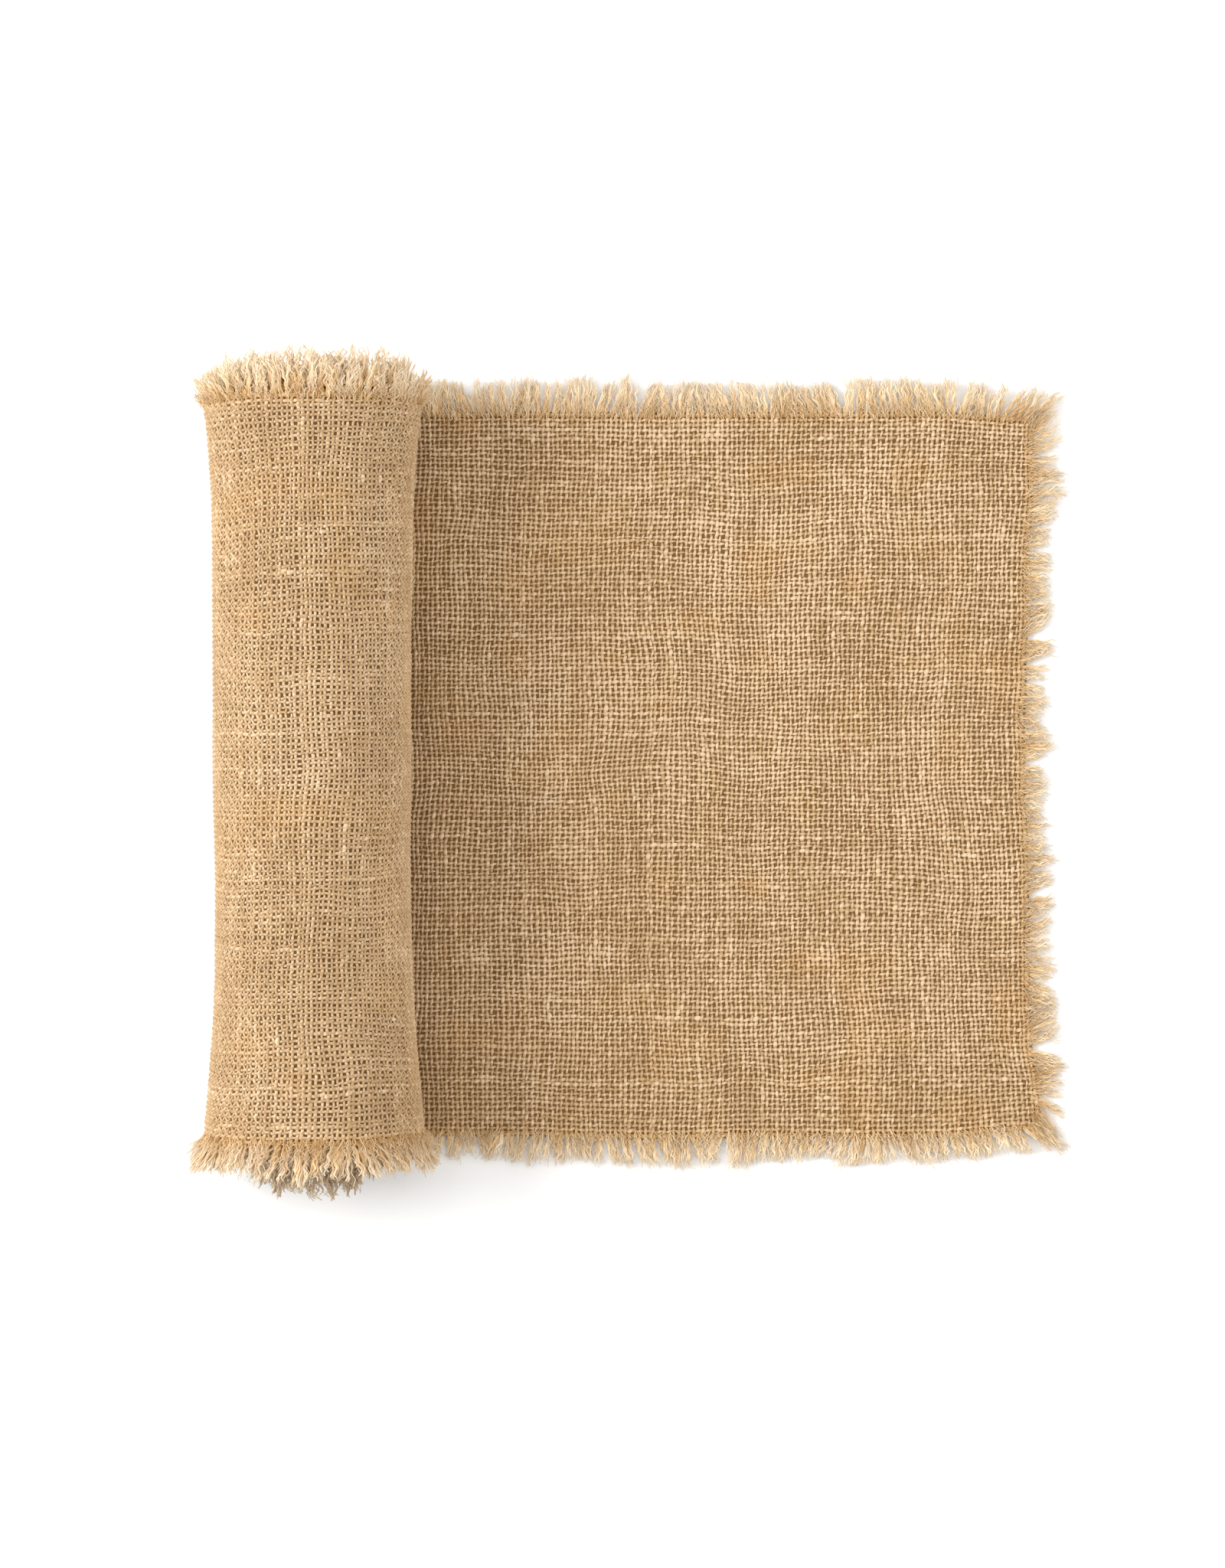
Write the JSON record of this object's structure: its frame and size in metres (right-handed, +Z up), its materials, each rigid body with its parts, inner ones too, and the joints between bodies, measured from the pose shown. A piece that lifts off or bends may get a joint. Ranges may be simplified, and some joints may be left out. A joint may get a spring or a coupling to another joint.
{
  "type": "table runner",
  "caption": "Table runner of coarse open-weave cloth with frayed fringe on every edge, wound into a loose roll at one end and laid flat at the other.",
  "frame": {"origin": "centre of the whole footprint, on the table surface that the laid cloth and the roll rest on", "axes": "+X along the runner from the roll to the free end, +Y across it, +Z up"},
  "size_m": [0.3798, 0.375, 0.0905],
  "materials": {
    "woven_cloth": "matte",
    "frayed_fringe": "matte",
    "stay_stitching": "matte"
  },
  "bodies": {
    "runner": {"laid_cloth": "woven_cloth", "laid_back_stitching": "stay_stitching", "laid_front_stitching": "stay_stitching", "laid_back_fringe": "frayed_fringe", "laid_front_fringe": "frayed_fringe", "roll_turn_1": "woven_cloth", "roll_turn_2": "woven_cloth", "roll_turn_3": "woven_cloth", "roll_turn_4": "woven_cloth", "roll_turn_5": "woven_cloth", "roll_turn_6": "woven_cloth", "roll_turn_7": "woven_cloth", "roll_turn_8": "woven_cloth", "rolled_back_stitching": "stay_stitching", "rolled_front_stitching": "stay_stitching", "rolled_back_fringe": "frayed_fringe", "rolled_front_fringe": "frayed_fringe", "inner_end_cross_stitching": "stay_stitching", "inner_end_cross_fringe": "frayed_fringe"},
    "free_end": {"free_end_cloth": "woven_cloth", "free_end_back_stitching": "stay_stitching", "free_end_front_stitching": "stay_stitching", "free_end_back_fringe": "frayed_fringe", "free_end_front_fringe": "frayed_fringe", "free_end_cross_stitching": "stay_stitching", "free_end_cross_fringe": "frayed_fringe"}
  },
  "joints": [
    {"name": "free_end_fold", "type": "hinge", "parent": "runner", "child": "free_end", "pos_m": [0.05987, 0, 0.0016], "axis": [0, -1, 0], "range_deg": [0, 165]}
  ]
}
